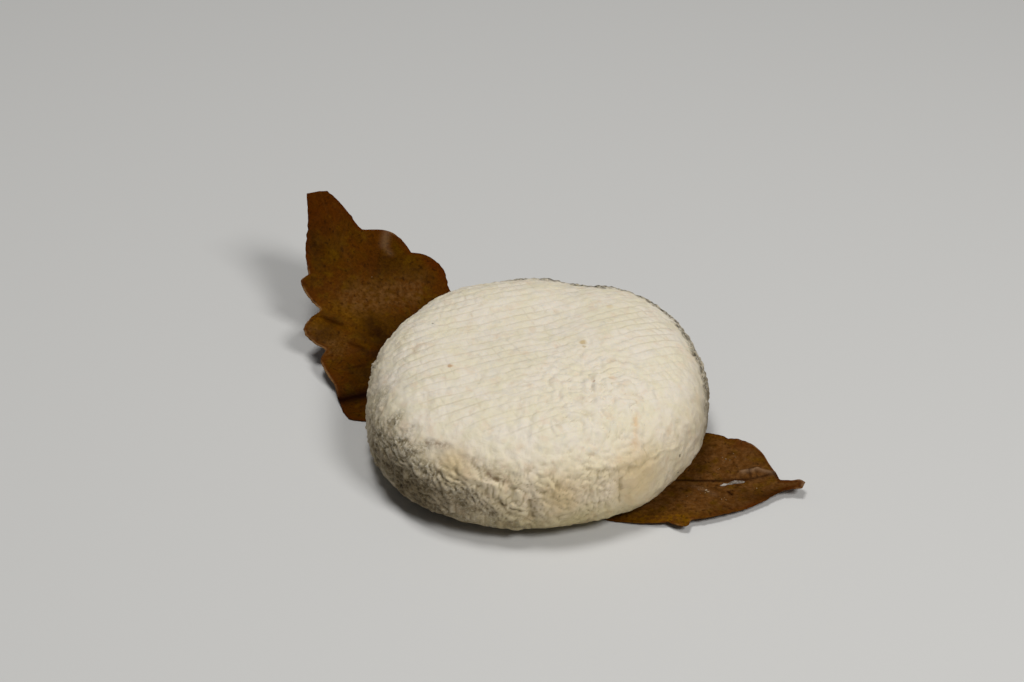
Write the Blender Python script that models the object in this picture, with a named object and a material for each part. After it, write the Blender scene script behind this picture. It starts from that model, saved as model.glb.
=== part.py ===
"""A small soft-ripened goat cheese lying on a dried brown leaf.

Frame: +Z up, metres. The origin lies on the flat underside of the leaf, on the axis of the cheese.
The leaf's stalk end points along +X, and its toothed end curls up behind the cheese, at -X +Y.
Two pieces: the cheese, one solid with its wrinkled rind, and the leaf, one thin wavy sheet.
"""

import math

import bmesh
import bpy
import numpy as np
from mathutils import Vector, noise

# Cheese: a round that has sagged over its base, so that it is widest near the bottom
CHEESE_RADIUS = 0.050        # mean radius at the belly, its widest level
CHEESE_HEIGHT = 0.032
BELLY_HEIGHT = 0.009
FLAT_TOP_RADIUS = 0.019      # the top is level inside this radius and falls away outside it
FLAT_BASE_RADIUS = 0.035
SHOULDER_SQUARENESS = 2.8    # exponent of the curve from the level top out to the belly
UNDERCUT_SQUARENESS = 2.2    # exponent of the curve from the belly in to the base
OVAL = ((2, 0.034, 64.0), (3, 0.004, 0.0), (4, 0.010, 40.0))   # waves round, share, degrees

# Rind relief
LUMP_SIZE, LUMP_HEIGHT = 0.020, 0.0010
WRINKLE_SIZE, WRINKLE_HEIGHT = 0.0055, 0.0007
WRINKLE_SHIFT = Vector((7.0, 3.0, 5.0))      # takes the wrinkles from another place in the noise
TOP_WRINKLE_SHARE = 0.5      # wrinkles on the level top, as a share of those on the side
SMOOTH_BASE_HEIGHT = 0.006   # the rind is smooth below this height
DENT = (72.0, 11.0, 0.0016)  # degrees round, half angle, depth, at the back shoulder
DENT_RISE = 0.019            # the height above the belly over which the dent grows to its full depth
CREASES = ((-92.0, 2.2, 0.010, 0.0009), (-63.0, 2.4, 0.012, 0.0010),
           (-105.0, 2.0, 0.009, 0.0007), (-140.0, 2.6, 0.013, 0.0007))
CREASE_SPREAD = 0.006        # half the length of a crease, up and down the side

# Leaf
LEAF_LENGTH = 0.201
LEAF_THICKNESS = 0.0005
STALK_END = (0.0743, -0.0262)
# Along the midrib from the stalk end: distance, then degrees round from +X that the midrib heads
HEADINGS = ((0.0, 160), (0.010, 176), (0.025, 180), (0.050, 160), (0.075, 140), (0.110, 131),
            (0.150, 124), (0.175, 126), (LEAF_LENGTH, 134))
# Distance, then degrees that the midrib climbs: the stalk end is lifted, the far end curls up
CLIMBS = ((0.0, -16), (0.012, -8), (0.022, 0), (0.126, 0), (0.131, 18), (0.138, 14),
          (LEAF_LENGTH, 66))
# Distance, then half the width without teeth, on the near side and on the far side
NEAR_HALF = ((0.0, 0.0030), (0.006, 0.0044), (0.012, 0.0088), (0.020, 0.0133), (0.031, 0.0176),
             (0.040, 0.0194), (0.052, 0.0203), (0.080, 0.0255), (0.112, 0.0262), (0.1205, 0.0280),
             (0.1245, 0.0312), (0.130, 0.0298), (0.138, 0.0268), (0.151, 0.0219), (0.163, 0.0166),
             (0.176, 0.0146), (0.183, 0.0124), (0.192, 0.0077), (0.198, 0.0058),
             (LEAF_LENGTH, 0.0046))
FAR_HALF = ((0.0, 0.0002), (0.0012, 0.0011), (0.0045, 0.0012), (0.0077, 0.0030), (0.0098, 0.0086),
            (0.0122, 0.0150), (0.0150, 0.0185), (0.020, 0.0203), (0.026, 0.0222), (0.060, 0.0265),
            (0.110, 0.0290), (0.152, 0.0256), (0.165, 0.0252), (0.172, 0.0214), (0.180, 0.0146),
            (0.184, 0.0096), (0.190, 0.0072), (0.196, 0.0048), (LEAF_LENGTH, 0.0014))
END_SKEW, END_SKEW_RUN = 0.0018, 0.012     # the far half ends this much before the near half
# Teeth: distance of the point, height, steep flank, gentle flank; steep > 0 leans to the curled end
NEAR_TEETH = ((0.0330, 0.0028, -0.0007, 0.0040), (0.1475, 0.0023, 0.0032, 0.010),
              (0.1600, 0.0070, 0.0046, 0.0085), (0.1762, 0.0030, 0.0007, 0.011))
FAR_TEETH = ((0.0264, 0.0016, 0.0020, 0.0060), (0.1702, 0.0026, 0.0024, 0.012),
             (0.1814, 0.0044, 0.0028, 0.009))
STEEP_FLANK_BULGE = 1.7
GENTLE_FLANK_BULGE = 1.6
FOLD_ANGLE = math.radians(7)      # each half rises from the midrib by this at the stalk end
NEAR_FOLD_START = 0.052           # where the fold begins, measured from the stalk end
FAR_FOLD_START = 0.040
FOLD_RUN = 0.024                  # the distance over which the fold grows to its full angle
RIPPLE_HEIGHT = 0.0007            # waves in the curled end, this high at RIPPLE_REACH from the midrib
RIPPLE_REACH = 0.020
RIPPLE_LENGTH = 0.021
RIPPLE_SLANT = 0.009              # across the leaf, the distance that shifts a wave by one radian
RIPPLE_START, RIPPLE_RUN = 0.135, 0.030

SHEET_GAP = 0.0003                # between the leaf and the cheese that lies on it

# Mesh density
TOP_GRID_RADIUS = 0.038      # one rounded grid covers the top out to here, and rows cover the side
TOP_CELLS = 36
SIDE_ROWS = 22
LEAF_STATIONS = 100
LEAF_COLUMNS = 12
MIDRIB_STEPS = 400
PROFILE_STEPS = 400

BASE_HEIGHT = LEAF_THICKNESS + SHEET_GAP


def remove_all_objects():
    for existing in list(bpy.data.objects):
        bpy.data.objects.remove(existing)


def make_material(name, colour, roughness):
    material = bpy.data.materials.new(name)
    material.use_nodes = True
    shader = material.node_tree.nodes["Principled BSDF"]
    shader.inputs["Base Color"].default_value = (*colour, 1.0)
    shader.inputs["Roughness"].default_value = roughness
    shader.inputs["Metallic"].default_value = 0.0
    return material


def add_object(name, bm, material):
    mesh = bpy.data.meshes.new(name)
    bm.to_mesh(mesh)
    bm.free()
    mesh.shade_smooth()
    mesh.materials.append(material)
    piece = bpy.data.objects.new(name, mesh)
    bpy.context.scene.collection.objects.link(piece)
    return piece


def ease(value):
    """Smooth step: 0 below 0, 1 above 1, level at both ends."""
    t = min(max(value, 0.0), 1.0)
    return t * t * (3.0 - 2.0 * t)


# ---------------------------------------------------------------- cheese

def oval_scale(azimuth):
    """How far the plan of the cheese departs from a circle at this azimuth."""
    return 1.0 + sum(share * math.cos(waves * (azimuth - math.radians(turn)))
                     for waves, share, turn in OVAL)


def top_height(radius):
    """Height of the upper surface at this radius."""
    reach = CHEESE_RADIUS - FLAT_TOP_RADIUS
    out = max(0.0, radius - FLAT_TOP_RADIUS) / reach
    rise = CHEESE_HEIGHT - BELLY_HEIGHT
    return BELLY_HEIGHT + rise * (1.0 - out ** SHOULDER_SQUARENESS) ** (1.0 / SHOULDER_SQUARENESS)


def side_profile(rim_radius):
    """Radius and height down the side, from the rim of the top grid to the flat base."""
    reach = CHEESE_RADIUS - FLAT_TOP_RADIUS
    rim_cosine = (1.0 - (CHEESE_RADIUS - rim_radius) / reach) ** (SHOULDER_SQUARENESS / 2.0)
    angles = np.linspace(math.acos(rim_cosine), 0.0, PROFILE_STEPS)
    radii = CHEESE_RADIUS - reach * (1.0 - np.cos(angles) ** (2.0 / SHOULDER_SQUARENESS))
    rise = CHEESE_HEIGHT - BELLY_HEIGHT
    heights = BELLY_HEIGHT + rise * np.sin(angles) ** (2.0 / SHOULDER_SQUARENESS)
    angles = np.linspace(0.0, math.pi / 2.0, PROFILE_STEPS)[1:]
    cosines = np.clip(np.cos(angles), 0.0, 1.0)
    tuck = CHEESE_RADIUS - FLAT_BASE_RADIUS
    radii = np.append(radii, CHEESE_RADIUS - tuck * (1.0 - cosines ** (2.0 / UNDERCUT_SQUARENESS)))
    drop = BELLY_HEIGHT - BASE_HEIGHT
    lower = BELLY_HEIGHT - drop * np.sin(angles) ** (2.0 / UNDERCUT_SQUARENESS)
    heights = np.append(heights, lower)
    run = np.append(0.0, np.cumsum(np.hypot(np.diff(radii), np.diff(heights))))
    even = np.linspace(0.0, run[-1], SIDE_ROWS + 1)
    return np.interp(even, run, radii), np.interp(even, run, heights)


def crease_depth(azimuth, height):
    """Depth of the short upright creases in the side."""
    depth = 0.0
    for turn, half_angle, middle, deepest in CREASES:
        across = math.remainder(azimuth - math.radians(turn), math.tau) / math.radians(half_angle)
        along = (height - middle) / CREASE_SPREAD
        depth += deepest * math.exp(-across ** 2 - along ** 2)
    return depth


def rind_relief(point):
    """Height of the rind above the smooth form: slow lumps, wrinkles, creases and the dent."""
    azimuth = math.atan2(point.y, point.x)
    radius = math.hypot(point.x, point.y)
    lumps = LUMP_HEIGHT * noise.noise(point / LUMP_SIZE)
    ridges = 0.5 - 2.0 * abs(noise.noise(point / WRINKLE_SIZE + WRINKLE_SHIFT))
    on_side = ease((radius - FLAT_TOP_RADIUS) / (CHEESE_RADIUS - FLAT_TOP_RADIUS))
    wrinkles = WRINKLE_HEIGHT * ridges * (TOP_WRINKLE_SHARE + (1.0 - TOP_WRINKLE_SHARE) * on_side)
    turn, half_angle, deepest = DENT
    across = math.remainder(azimuth - math.radians(turn), math.tau) / math.radians(half_angle)
    on_shoulder = ease((point.z - BELLY_HEIGHT) / DENT_RISE) * on_side
    dent = deepest * math.exp(-across ** 2) * on_shoulder
    kept = ease((point.z - BASE_HEIGHT) / SMOOTH_BASE_HEIGHT)
    return kept * (lumps + wrinkles - crease_depth(azimuth, point.z)) - dent


def make_cheese():
    """A square grid is rounded to a disc for the top, its rim is drawn down row by row, and the
    last row is closed with one flat face."""
    bm = bmesh.new()
    bmesh.ops.create_grid(bm, x_segments=TOP_CELLS, y_segments=TOP_CELLS, size=1.0)
    for vert in bm.verts:
        u, v = (math.sqrt(2.0) * math.sin(math.radians(45.0) * side) for side in vert.co.xy)
        x = TOP_GRID_RADIUS * u * math.sqrt(1.0 - v * v / 2.0)
        y = TOP_GRID_RADIUS * v * math.sqrt(1.0 - u * u / 2.0)
        scale = oval_scale(math.atan2(y, x))
        vert.co = (x * scale, y * scale, top_height(math.hypot(x, y)))
    radii, heights = side_profile(TOP_GRID_RADIUS)
    rim = [edge for edge in bm.edges if edge.is_boundary]
    for inner, outer, height in zip(radii[:-1], radii[1:], heights[1:]):
        drawn = bmesh.ops.extrude_edge_only(bm, edges=rim)["geom"]
        rim = [item for item in drawn if isinstance(item, bmesh.types.BMEdge)]
        for vert in (item for item in drawn if isinstance(item, bmesh.types.BMVert)):
            vert.co.x *= outer / inner
            vert.co.y *= outer / inner
            vert.co.z = height
    bmesh.ops.holes_fill(bm, edges=rim)
    bmesh.ops.recalc_face_normals(bm, faces=bm.faces[:])
    bm.normal_update()
    shifts = [vert.normal * rind_relief(vert.co) for vert in bm.verts]
    for vert, shift in zip(bm.verts, shifts):
        vert.co += shift
    rind = make_material("rind", (0.72, 0.62, 0.45), 0.6)
    return add_object("cheese", bm, rind)


# ------------------------------------------------------------------ leaf

def smooth_through(stations, position):
    """A smooth curve through (position, value) stations that doesn't overshoot at its turns."""
    places, values = (np.array(column, float) for column in zip(*stations))
    slopes = np.gradient(values, places)
    steps = np.diff(values)
    slopes[1:-1][steps[:-1] * steps[1:] <= 0.0] = 0.0
    left = np.clip(np.searchsorted(places, position) - 1, 0, len(places) - 2)
    width = places[left + 1] - places[left]
    t = np.clip((position - places[left]) / width, 0.0, 1.0)
    return (values[left] * (2 * t ** 3 - 3 * t ** 2 + 1)
            + slopes[left] * width * (t ** 3 - 2 * t ** 2 + t)
            + values[left + 1] * (3 * t ** 2 - 2 * t ** 3)
            + slopes[left + 1] * width * (t ** 3 - t ** 2))


def midrib():
    """Distance along the midrib, with its place, heading and climb there."""
    distance = np.linspace(0.0, LEAF_LENGTH, MIDRIB_STEPS + 1)
    heading = np.radians(smooth_through(HEADINGS, distance))
    climb = np.radians(smooth_through(CLIMBS, distance))
    ways = np.stack((np.cos(heading) * np.cos(climb), np.sin(heading) * np.cos(climb),
                     np.sin(climb)), axis=1)
    steps = (ways[1:] + ways[:-1]) / 2.0 * (LEAF_LENGTH / MIDRIB_STEPS)
    places = np.vstack(((0.0, 0.0, 0.0), np.cumsum(steps, axis=0)))
    places[:, :2] += STALK_END
    places[:, 2] -= places[:, 2].min()
    return distance, places, heading, climb


def half_width(distance, side):
    """Half the leaf's width, with its teeth: side -1 is the near half, +1 the far half."""
    outline, teeth = (NEAR_HALF, NEAR_TEETH) if side < 0 else (FAR_HALF, FAR_TEETH)
    width = float(smooth_through(outline, distance))
    for tip, height, steep, gentle in teeth:
        along = (distance - tip) * math.copysign(1.0, steep)
        if along > 0.0:
            width += height * (1.0 - min(1.0, along / abs(steep)) ** STEEP_FLANK_BULGE)
        else:
            width += height * (1.0 - min(1.0, -along / gentle) ** GENTLE_FLANK_BULGE)
    return width


def fold_angle(distance, side):
    start = NEAR_FOLD_START if side < 0 else FAR_FOLD_START
    return FOLD_ANGLE * ease((start - distance) / FOLD_RUN)


def leaf_point(rib, distance, offset):
    """The place on the leaf's underside at this distance along and offset across the midrib."""
    stations, places, headings, climbs = rib
    place = Vector([np.interp(distance, stations, places[:, axis]) for axis in range(3)])
    heading = np.interp(distance, stations, headings)
    climb = np.interp(distance, stations, climbs)
    across = Vector((math.sin(heading), -math.cos(heading), 0.0))
    upward = Vector((-math.cos(heading) * math.sin(climb), -math.sin(heading) * math.sin(climb),
                     math.cos(climb)))
    fold = fold_angle(distance, offset)
    free = ease((distance - RIPPLE_START) / RIPPLE_RUN)
    wave = math.sin(distance / RIPPLE_LENGTH * math.tau + offset / RIPPLE_SLANT)
    ripple = RIPPLE_HEIGHT * free * wave * abs(offset) / RIPPLE_REACH
    return (place + across * offset * math.cos(fold)
            + upward * (abs(offset) * math.sin(fold) + ripple))


def make_leaf():
    """A grid is bent along the midrib, split into triangles and thickened on its upper side, so
    that both faces carry the same triangles."""
    bm = bmesh.new()
    bmesh.ops.create_grid(bm, x_segments=LEAF_STATIONS, y_segments=LEAF_COLUMNS, size=1.0)
    rib = midrib()
    for vert in bm.verts:
        distance = (vert.co.x + 1.0) / 2.0 * LEAF_LENGTH
        skewed = ease((distance - LEAF_LENGTH + END_SKEW_RUN) / END_SKEW_RUN)
        distance -= END_SKEW * skewed * (vert.co.y + 1.0) / 2.0
        offset = vert.co.y * half_width(distance, vert.co.y)
        vert.co = leaf_point(rib, distance, offset)
    bmesh.ops.triangulate(bm, faces=bm.faces[:])
    # The far half lies to the right of the midrib's heading, so the bent grid faces down
    bmesh.ops.reverse_faces(bm, faces=bm.faces[:])
    bm.normal_update()
    raised = {tuple(vert.co): vert.normal * LEAF_THICKNESS for vert in bm.verts}
    upper = bmesh.ops.extrude_face_region(bm, geom=bm.faces[:])["geom"]
    for vert in (item for item in upper if isinstance(item, bmesh.types.BMVert)):
        vert.co += raised[tuple(vert.co)]
    bmesh.ops.triangulate(bm, faces=bm.faces[:])
    bmesh.ops.recalc_face_normals(bm, faces=bm.faces[:])
    blade = make_material("dry_leaf", (0.28, 0.12, 0.03), 0.55)
    return add_object("leaf", bm, blade)


remove_all_objects()
make_cheese()
make_leaf()
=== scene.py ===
"""A small soft-ripened goat cheese with a wrinkled, bloomy rind, lying on a dried brown leaf.

The leaf comes first, then the cheese that lies on it, then the crumbs and curd that fell on the
leaf, and last the floor, the lights and the camera. Lengths are in metres.
"""

import math

import bmesh
import bpy
import numpy as np
from mathutils import Euler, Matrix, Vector, noise
from mathutils.bvhtree import BVHTree


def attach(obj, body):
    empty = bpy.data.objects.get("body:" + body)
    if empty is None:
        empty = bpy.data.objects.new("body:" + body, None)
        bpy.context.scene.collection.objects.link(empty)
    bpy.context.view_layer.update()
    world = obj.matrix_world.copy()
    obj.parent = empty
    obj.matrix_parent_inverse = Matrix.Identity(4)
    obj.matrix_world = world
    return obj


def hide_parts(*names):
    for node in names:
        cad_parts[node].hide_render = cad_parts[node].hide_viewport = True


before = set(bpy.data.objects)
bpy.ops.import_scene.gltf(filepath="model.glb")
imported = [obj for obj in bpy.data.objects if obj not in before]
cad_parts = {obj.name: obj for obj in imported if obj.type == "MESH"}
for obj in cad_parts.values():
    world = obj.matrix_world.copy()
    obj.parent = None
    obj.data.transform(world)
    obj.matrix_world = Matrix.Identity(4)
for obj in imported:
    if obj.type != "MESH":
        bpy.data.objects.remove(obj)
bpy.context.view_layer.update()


# ------------------------------------------------------------------ the leaf
# A dried chestnut leaf, brown, stiff and brittle, picked up off the ground and laid under the
# cheese as a mat. Its stalk end is lifted in a shallow fold, its toothed end has curled up as it
# dried, and between the two the weight of the cheese holds it flat.

LEAF_LENGTH = 0.201
LEAF_THICKNESS = 0.0005
STALK_END = (0.0743, -0.0262)
# Along the midrib from the stalk end: distance, then degrees round from +X that the midrib heads
HEADINGS = ((0.0, 160), (0.010, 176), (0.025, 180), (0.050, 160), (0.075, 140), (0.110, 131),
            (0.150, 124), (0.175, 126), (LEAF_LENGTH, 134))
# Distance, then degrees that the midrib climbs
CLIMBS = ((0.0, -16), (0.012, -8), (0.022, 0), (0.126, 0), (0.131, 18), (0.138, 14),
          (LEAF_LENGTH, 66))
# Distance, then half the width without teeth, on the near side and on the far side
NEAR_HALF = ((0.0, 0.0030), (0.006, 0.0044), (0.012, 0.0088), (0.020, 0.0133), (0.031, 0.0176),
             (0.040, 0.0194), (0.052, 0.0203), (0.080, 0.0255), (0.112, 0.0262), (0.1205, 0.0280),
             (0.1245, 0.0312), (0.130, 0.0298), (0.138, 0.0268), (0.151, 0.0219), (0.163, 0.0166),
             (0.176, 0.0146), (0.183, 0.0124), (0.192, 0.0077), (0.198, 0.0058),
             (LEAF_LENGTH, 0.0046))
FAR_HALF = ((0.0, 0.0002), (0.0012, 0.0011), (0.0045, 0.0012), (0.0077, 0.0030), (0.0098, 0.0086),
            (0.0122, 0.0150), (0.0150, 0.0185), (0.020, 0.0203), (0.026, 0.0222), (0.060, 0.0265),
            (0.110, 0.0290), (0.152, 0.0256), (0.165, 0.0252), (0.172, 0.0214), (0.180, 0.0146),
            (0.184, 0.0096), (0.190, 0.0072), (0.196, 0.0048), (LEAF_LENGTH, 0.0014))
END_SKEW, END_SKEW_RUN = 0.0018, 0.012     # the far half ends this much before the near half
# Teeth: distance of the point, height, steep flank (leans to the curled end if > 0), gentle flank
NEAR_TEETH = ((0.0330, 0.0028, -0.0007, 0.0040), (0.1475, 0.0023, 0.0032, 0.010),
              (0.1600, 0.0070, 0.0046, 0.0085), (0.1762, 0.0030, 0.0007, 0.011))
FAR_TEETH = ((0.0264, 0.0016, 0.0020, 0.0060), (0.1702, 0.0026, 0.0024, 0.012),
             (0.1814, 0.0044, 0.0028, 0.009))
STEEP_FLANK_BULGE = 1.7
GENTLE_FLANK_BULGE = 1.6
FOLD_ANGLE = math.radians(7)
NEAR_FOLD_START, FAR_FOLD_START, FOLD_RUN = 0.052, 0.040, 0.024
RIPPLE_HEIGHT, RIPPLE_REACH, RIPPLE_LENGTH, RIPPLE_SLANT = 0.0007, 0.020, 0.021, 0.009
# Like the other pairs named for a start or an end: where the change starts or ends, and its run
RIPPLE_START = (0.135, 0.030)
LEAF_STATIONS, LEAF_COLUMNS = 460, 72
MIDRIB_STEPS = 400

# The blade: its veins are sunk in the upper face, and the blade dries up in pads between them
VEIN_PITCH = 0.020                # along the midrib, from one side vein to the next
NEAR_VEIN, FAR_VEIN = 0.1395, 0.1430   # where one side vein of each half leaves the midrib
VEIN_HALF_WIDTH = 0.00055
VEIN_DEPTH = 0.00005
PAD_HEIGHT = 0.00018
VEIN_FADE, PAD_FADE = 0.004, 0.006     # they die away this near the margin
RIB_SHIFT, RIB_SHIFT_END = 0.0025, 0.060    # the rib lies off the blade's middle at the stalk end
RIB_HALF_WIDTH, RIB_DEPTH = 0.00065, 0.00060
RIB_START, RIB_END = (0.0, 0.008), (0.038, 0.010)     # it is sunk at the stalk end only
CRUMPLE_SIZE, CRUMPLE_HEIGHT = 0.006, 0.00028
FINE_CRUMPLE_SIZE, FINE_CRUMPLE_SHARE = 0.0024, 0.5
MARGIN_THINNING, MARGIN_REACH = 0.00022, 0.0012
THINNEST = 0.00015
FRAY_LENGTH, FRAY_HEIGHT = 0.0013, 0.00030     # the frayed margin
FRAYED_WIDTH = (0.001, 0.003)     # it frays where that half of the blade is wider than this
PRESSED_FROM, PRESSED_TO, PRESSED_SHARE = (0.045, 0.020), (0.122, 0.020), 0.7      # by the cheese
OFF_FLOOR = (0.0006, 0.0015)      # above this the lower face has the relief too
# Creases that the leaf dried with: distance and offset at each end, depth, half width
LEAF_CREASES = ((0.1630, -0.0170, 0.1562, -0.0110, 0.0006, 0.0014),
                (0.1325, -0.0310, 0.1285, -0.0120, 0.0012, 0.0019),
                (0.1625, 0.0212, 0.1550, 0.0148, 0.0004, 0.0009),
                (0.1500, -0.0190, 0.1430, -0.0070, -0.0004, 0.0012),
                (0.0180, 0.0052, 0.0130, 0.0062, -0.0007, 0.0010),
                (0.0130, 0.0062, 0.0066, 0.0034, -0.0006, 0.0009),
                (0.0219, -0.0024, 0.0209, -0.0044, 0.0005, 0.0004))
# Patches of colour: distance, offset, reach along, reach across
# Painted sheen: a paler, greyer brown where the curled blade faces the light
PAINTED_SHEEN = ((0.1615, 0.0060, 0.0055, 0.0090), (0.1595, 0.0155, 0.0045, 0.0065),
            (0.1640, -0.0035, 0.0055, 0.0060), (0.1505, -0.0195, 0.0040, 0.0050),
            (0.1570, -0.0225, 0.0030, 0.0040))
# The crease that the painted sheen ends at
PAINTED_SHEEN_END, PAINTED_SHEEN_RUN = (0.1625, 0.0212, 0.1550, 0.0148), 0.0012
# Dark patches: partly dark blotches of the blade, partly painted shade in its folds
DARK_PATCHES_AND_FOLD_SHADE = ((0.1500, -0.0045, 0.0060, 0.0036), (0.1725, 0.0110, 0.0045, 0.0060),
            (0.1595, -0.0148, 0.0022, 0.0030), (0.1425, -0.0090, 0.0020, 0.0055),
            (0.1850, -0.0080, 0.0060, 0.0030), (0.1480, 0.0130, 0.0060, 0.0100),
            (0.0110, -0.0060, 0.0090, 0.0030), (0.1560, -0.0200, 0.0022, 0.0050))
GOLDEN = ((0.0460, -0.0185, 0.0150, 0.0042), (0.0350, -0.0175, 0.0060, 0.0034),
          (0.0290, 0.0215, 0.0060, 0.0032), (0.1600, -0.0130, 0.0060, 0.0100))
# Dark lines, mostly painted shade in creases, folds and the midrib's groove, and pale streaks,
# mostly painted highlights on folds and ridges: distance and offset at each end, half width, share
DARK_LINES_AND_CREASE_SHADE = ((0.1327, -0.0310, 0.1287, -0.0110, 0.0019, 1.0),
              (0.1625, -0.0170, 0.1570, -0.0128, 0.0010, 0.6),
              (0.1550, -0.0040, 0.1450, -0.0046, 0.0022, 0.4),
              (0.1500, -0.0139, 0.1460, -0.0120, 0.0009, 0.5),
              (0.1412, -0.0201, 0.1404, -0.0150, 0.0007, 0.5),
              (0.0360, 0.0026, 0.0165, 0.0026, 0.00042, 0.9),
              (0.0165, 0.0026, 0.0095, 0.0040, 0.00040, 0.7),
              (0.0152, 0.0064, 0.0150, 0.0036, 0.00030, 0.8),
              (0.0219, -0.0024, 0.0209, -0.0044, 0.00040, 1.0),
              (0.0088, 0.0042, 0.0068, 0.0024, 0.00060, 0.8),
              (0.0300, -0.0160, 0.0050, -0.0032, 0.0014, 0.2))
PALE_STREAKS_AND_HIGHLIGHTS = ((0.1815, 0.0172, 0.1775, 0.0138, 0.0013, 0.42),
                (0.1775, 0.0138, 0.1745, 0.0142, 0.0011, 0.24),
                (0.0172, 0.0054, 0.0130, 0.0062, 0.0007, 1.0),
                (0.0130, 0.0062, 0.0066, 0.0034, 0.0007, 0.8),
                (0.0020, 0.0014, 0.0002, 0.0008, 0.0006, 0.9),
                (0.0002, 0.0008, 0.0002, -0.0014, 0.0006, 0.9),
                (0.0310, -0.0002, 0.0258, -0.0044, 0.0011, 0.25))
# Stretches of the margin that are pale, partly a painted highlight where the raised edge catches
# the light: side, distance, half length
PALE_AND_LIT_MARGINS = ((-1.0, 0.1590, 0.0125), (-1.0, 0.1740, 0.0060), (-1.0, 0.1420, 0.0060),
                (1.0, 0.1805, 0.0020), (1.0, 0.0120, 0.0040), (-1.0, 0.0, 0.0024),
                (1.0, 0.0, 0.0028), (-1.0, 0.0340, 0.0018))
RUDDY_MARGIN = 0.0017
RUDDY = ((0.1620, 0.0262, 0.0070, 0.0030), (0.1690, 0.0258, 0.0040, 0.0030),
         (0.0160, 0.0185, 0.0040, 0.0028))
RUDDY_END, RUDDY_SHARE = (0.182, 0.012), 0.8      # from here the curled end is ruddy
STALK_COLOUR_END = (0.080, 0.040)


def linear(colour):
    """An sRGB hex colour as linear red, green, blue and an alpha of 1."""
    shares = (int(colour[place:place + 2], 16) / 255.0 for place in (1, 3, 5))
    return [share / 12.92 if share <= 0.04045 else ((share + 0.055) / 1.055) ** 2.4
            for share in shares] + [1.0]


def add_node(material, kind, values=None):
    """Adds a node. The values are its properties, or go by a socket's identifier: a number, a hex
    colour, or the node or output that the socket is linked to."""
    tree = material.node_tree
    node = tree.nodes.new("ShaderNode" + kind)
    for name, value in (values or {}).items():
        if isinstance(value, bpy.types.Node):
            value = next(s for s in value.outputs if s.enabled)
        elif isinstance(value, str) and value.startswith("#"):
            value = linear(value)
        if name in node.bl_rna.properties:
            setattr(node, name, value)
            continue
        socket = next(s for s in node.inputs if s.identifier == name)
        if isinstance(value, bpy.types.NodeSocket):
            tree.links.new(value, socket)
        else:
            socket.default_value = value
    return node


def new_material(name):
    """A material with only its output left, ready for its own nodes."""
    material = bpy.data.materials.new(name)
    material.use_nodes = True
    material.node_tree.nodes.clear()
    return material


def new_piece(name, bm, material):
    """A piece of this mesh, shaded smooth, in one material."""
    mesh = bpy.data.meshes.new(name)
    bm.to_mesh(mesh)
    bm.free()
    mesh.shade_smooth()
    mesh.materials.append(material)
    piece = bpy.data.objects.new(name, mesh)
    bpy.context.scene.collection.objects.link(piece)
    return piece


def ease(value):
    """Smooth step: 0 below 0, 1 above 1, level at both ends."""
    t = np.clip(value, 0.0, 1.0)
    return t * t * (3.0 - 2.0 * t)


def rising(value, start, run):
    """0 up to the start, easing to 1 over this run."""
    return ease((value - start) / run)


def falling(value, end, run):
    """1 until this run before the end, easing to 0 there."""
    return ease((end - value) / run)


def bell(value):
    """1 where the value is 0, dying away on both sides of it."""
    return np.exp(-value ** 2)


def cloud(points, size, shift=(0.0, 0.0, 0.0)):
    """Cloudy noise from -1 to 1 at each point, in lumps of this size. A shift takes it from another
    place."""
    return np.array([noise.noise(Vector(point) / size + Vector(shift)) for point in points])


def smooth_through(stations, position):
    """A smooth curve through (position, value) stations that doesn't overshoot at its turns."""
    places, values = (np.array(column, float) for column in zip(*stations))
    slopes = np.gradient(values, places)
    steps = np.diff(values)
    slopes[1:-1][steps[:-1] * steps[1:] <= 0.0] = 0.0
    left = np.clip(np.searchsorted(places, position) - 1, 0, len(places) - 2)
    width = places[left + 1] - places[left]
    t = np.clip((position - places[left]) / width, 0.0, 1.0)
    return (values[left] * (2 * t ** 3 - 3 * t ** 2 + 1)
            + slopes[left] * width * (t ** 3 - 2 * t ** 2 + t)
            + values[left + 1] * (3 * t ** 2 - 2 * t ** 3)
            + slopes[left + 1] * width * (t ** 3 - t ** 2))


def midrib(distance):
    """Place, heading and climb of the midrib at these distances."""
    fine = np.linspace(0.0, LEAF_LENGTH, MIDRIB_STEPS + 1)
    heading = np.radians(smooth_through(HEADINGS, fine))
    climb = np.radians(smooth_through(CLIMBS, fine))
    ways = np.stack((np.cos(heading) * np.cos(climb), np.sin(heading) * np.cos(climb),
                     np.sin(climb)), axis=1)
    steps = (ways[1:] + ways[:-1]) / 2.0 * (LEAF_LENGTH / MIDRIB_STEPS)
    places = np.vstack(((0.0, 0.0, 0.0), np.cumsum(steps, axis=0)))
    places[:, :2] += STALK_END
    places[:, 2] -= places[:, 2].min()
    place = np.stack([np.interp(distance, fine, places[:, axis]) for axis in range(3)], axis=1)
    return place, np.interp(distance, fine, heading), np.interp(distance, fine, climb)


def half_width(distance, outline, teeth):
    """Half the leaf's width on one side, with that side's teeth."""
    width = smooth_through(outline, distance)
    for tip, height, steep, gentle in teeth:
        along = (distance - tip) * math.copysign(1.0, steep)
        ahead = 1.0 - np.clip(along / abs(steep), 0.0, 1.0) ** STEEP_FLANK_BULGE
        behind = 1.0 - np.clip(-along / gentle, 0.0, 1.0) ** GENTLE_FLANK_BULGE
        width = width + height * np.where(along > 0.0, ahead, behind)
    return width


def to_segment(x, y, x0, y0, x1, y1):
    """How far each point (x, y) lies from the segment between two points."""
    run, rise = x1 - x0, y1 - y0
    share = np.clip(((x - x0) * run + (y - y0) * rise) / (run ** 2 + rise ** 2), 0.0, 1.0)
    return np.hypot(x - x0 - share * run, y - y0 - share * rise)


def rib_offset(distance):
    """Where the midrib lies across the blade."""
    return RIB_SHIFT * (1.0 - ease(distance / RIB_SHIFT_END))


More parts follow.
